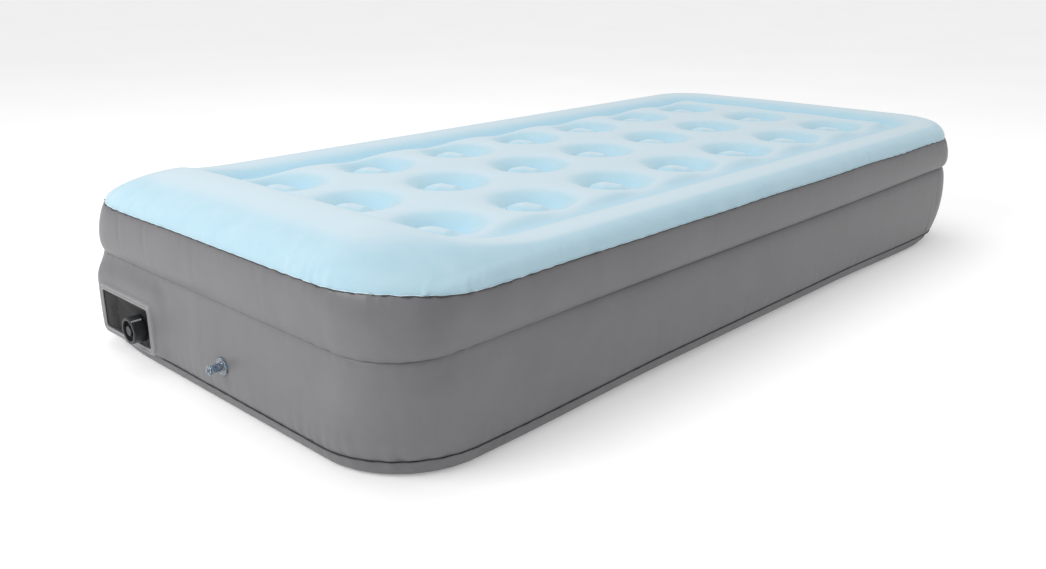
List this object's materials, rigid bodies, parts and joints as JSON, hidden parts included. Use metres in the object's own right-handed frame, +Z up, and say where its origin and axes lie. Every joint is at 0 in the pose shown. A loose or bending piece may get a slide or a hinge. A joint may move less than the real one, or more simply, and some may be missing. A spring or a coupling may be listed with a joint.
{
  "type": "air mattress",
  "caption": "Raised single air bed with a moulded pillow, quilted flocked top, grey vinyl walls, a built-in electric pump and a plugged air valve.",
  "frame": {"origin": "middle of the flat face that rests on the floor", "axes": "+X along the bed from its head, with the pump and valve, to its foot; +Z up; +Y to the side nearer the pump"},
  "size_m": [1.9945, 0.957, 0.344],
  "materials": {
    "flocked_top": "fine short flocked nap on vinyl, pale blue",
    "wall_film": "satin grey vinyl film",
    "base_film": "matt grey vinyl film, laid on the floor",
    "inner_film": "satin grey vinyl film, inside",
    "pump_collar": "satin grey moulded soft vinyl",
    "pump_plastic": "black textured moulding",
    "dial_plastic": "black satin moulding",
    "inner_plastic": "black moulding, plain",
    "pointer_white": "white inlay",
    "screw_black": "blackened steel",
    "steel": "bright steel",
    "motor_can": "zinc-plated steel can",
    "flap_rubber": "soft black rubber",
    "clear_vinyl": "clear soft vinyl with a faint blue cast"
  },
  "bodies": {
    "bed": {"top_sheet": "flocked_top", "side_wall": "wall_film", "bottom_sheet": "base_film", "middle_sheet": "inner_film", "coil_beam_1_1": "inner_film", "coil_beam_1_2": "inner_film", "coil_beam_1_3": "inner_film", "coil_beam_1_4": "inner_film", "coil_beam_1_5": "inner_film", "coil_beam_1_6": "inner_film", "coil_beam_1_7": "inner_film", "coil_beam_2_1": "inner_film", "coil_beam_2_2": "inner_film", "coil_beam_2_3": "inner_film", "coil_beam_2_4": "inner_film", "coil_beam_2_5": "inner_film", "coil_beam_2_6": "inner_film", "coil_beam_2_7": "inner_film", "coil_beam_3_1": "inner_film", "coil_beam_3_2": "inner_film", "coil_beam_3_3": "inner_film", "coil_beam_3_4": "inner_film", "coil_beam_3_5": "inner_film", "coil_beam_3_6": "inner_film", "coil_beam_3_7": "inner_film", "border_strap": "inner_film", "lower_beam_1": "inner_film", "lower_beam_2": "inner_film", "lower_beam_3": "inner_film", "lower_beam_4": "inner_film", "lower_beam_5": "inner_film", "lower_beam_6": "inner_film", "pump_frame": "pump_collar", "pump_housing": "inner_plastic", "pump_panel": "pump_plastic", "panel_screw_1": "screw_black", "panel_screw_2": "screw_black", "panel_screw_3": "screw_black", "panel_screw_4": "screw_black", "door_hinge_pin": "steel", "fan_shroud": "inner_plastic", "motor_bracket": "inner_plastic", "motor": "motor_can", "selector_switch": "inner_plastic", "cord_grommet": "flap_rubber", "valve_body": "clear_vinyl", "plug_tether": "clear_vinyl"},
    "selector": {"dial": "dial_plastic", "dial_cap": "dial_plastic", "dial_pointer": "pointer_white", "dial_spindle": "inner_plastic", "intake_shutter": "inner_plastic"},
    "door": {"cord_door": "pump_plastic"},
    "fan": {"impeller": "inner_plastic", "motor_shaft": "steel"},
    "outlet": {"outlet_flap": "flap_rubber"},
    "plug": {"valve_plug": "clear_vinyl"}
  },
  "joints": [
    {"name": "dial_turn", "type": "hinge", "parent": "bed", "child": "selector", "pos_m": [-0.987, 0.227, 0.0794], "axis": [1, 0, 0], "range_deg": [-90, 90]},
    {"name": "door_swing", "type": "hinge", "parent": "bed", "child": "door", "pos_m": [-0.9855, 0.3656, 0.0834], "axis": [0, 0, -1], "range_deg": [0, 100]},
    {"name": "fan_spin", "type": "hinge", "parent": "bed", "child": "fan", "pos_m": [-0.947, 0.255, 0.0834], "axis": [1, 0, 0], "continuous": true},
    {"name": "flap_swing", "type": "hinge", "parent": "bed", "child": "outlet", "pos_m": [-0.87895, 0.255, 0.1002], "axis": [0, -1, 0], "range_deg": [0, 60]},
    {"name": "plug_pull", "type": "slide", "parent": "bed", "child": "plug", "axis": [-1, 0, 0], "range_m": [0, 0.018], "deforming": ["plug_tether"]}
  ]
}
